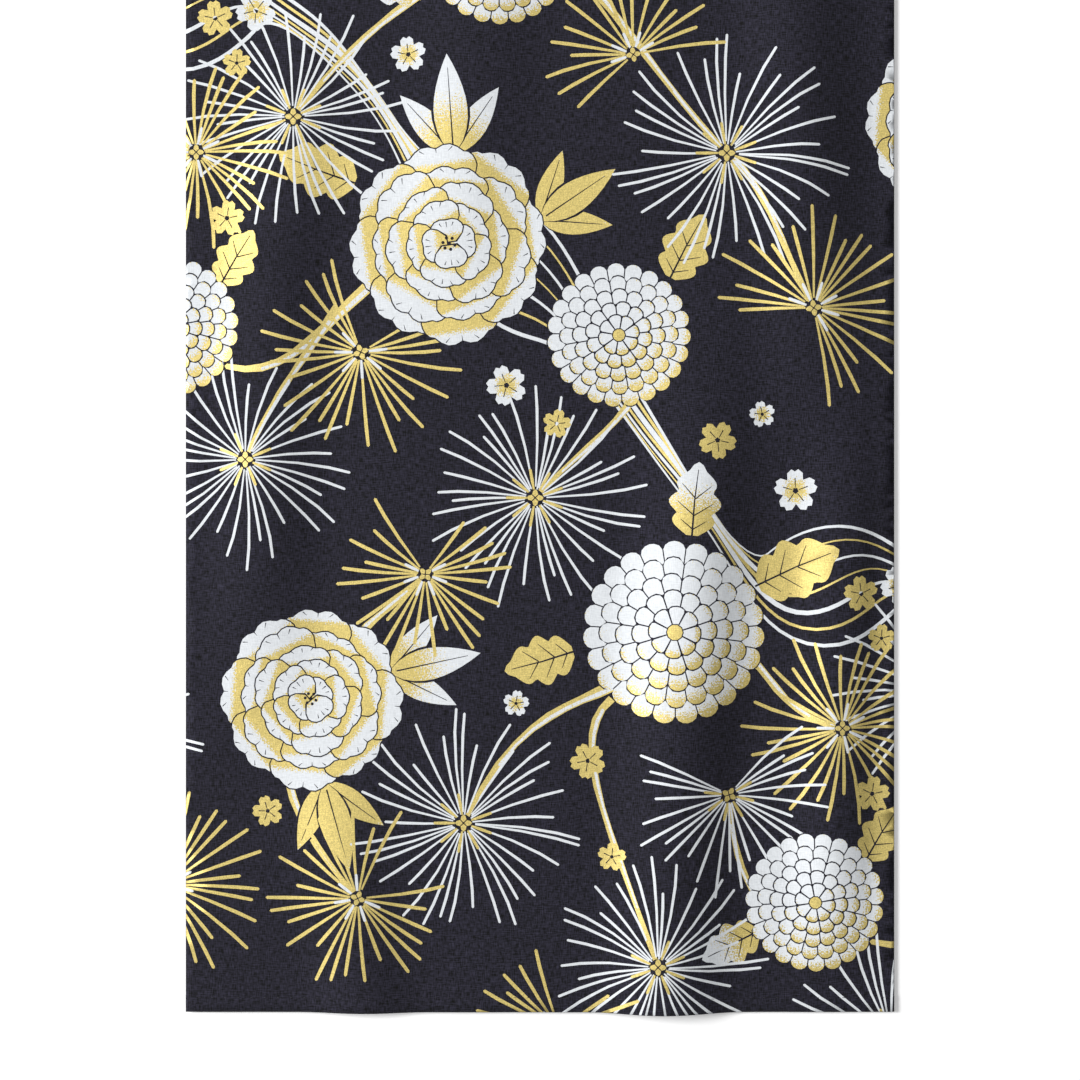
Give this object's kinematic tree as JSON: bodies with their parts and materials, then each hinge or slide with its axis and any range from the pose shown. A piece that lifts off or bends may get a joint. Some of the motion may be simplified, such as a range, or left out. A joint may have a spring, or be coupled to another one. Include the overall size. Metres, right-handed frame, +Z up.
{
  "type": "yukata",
  "caption": "Men's cotton yukata laid out flat, back up, near black with a bold white and gold print of chrysanthemums and streams.",
  "frame": {"origin": "middle of the garment's outline, on the surface that it lies on", "axes": "+Z up out of the back, +Y from the hem to the neck, +X towards the wearer's right sleeve"},
  "size_m": [1.3606, 1.475, 0.0192],
  "materials": {
    "printed_cotton": "matt plain weave, charcoal black, printed in white and metallic gold"
  },
  "bodies": {
    "root": {"body": "printed_cotton", "okumi_left": "printed_cotton", "okumi_right": "printed_cotton", "collar": "printed_cotton", "sleeve_left": "printed_cotton", "sleeve_right": "printed_cotton"}
  },
  "joints": []
}
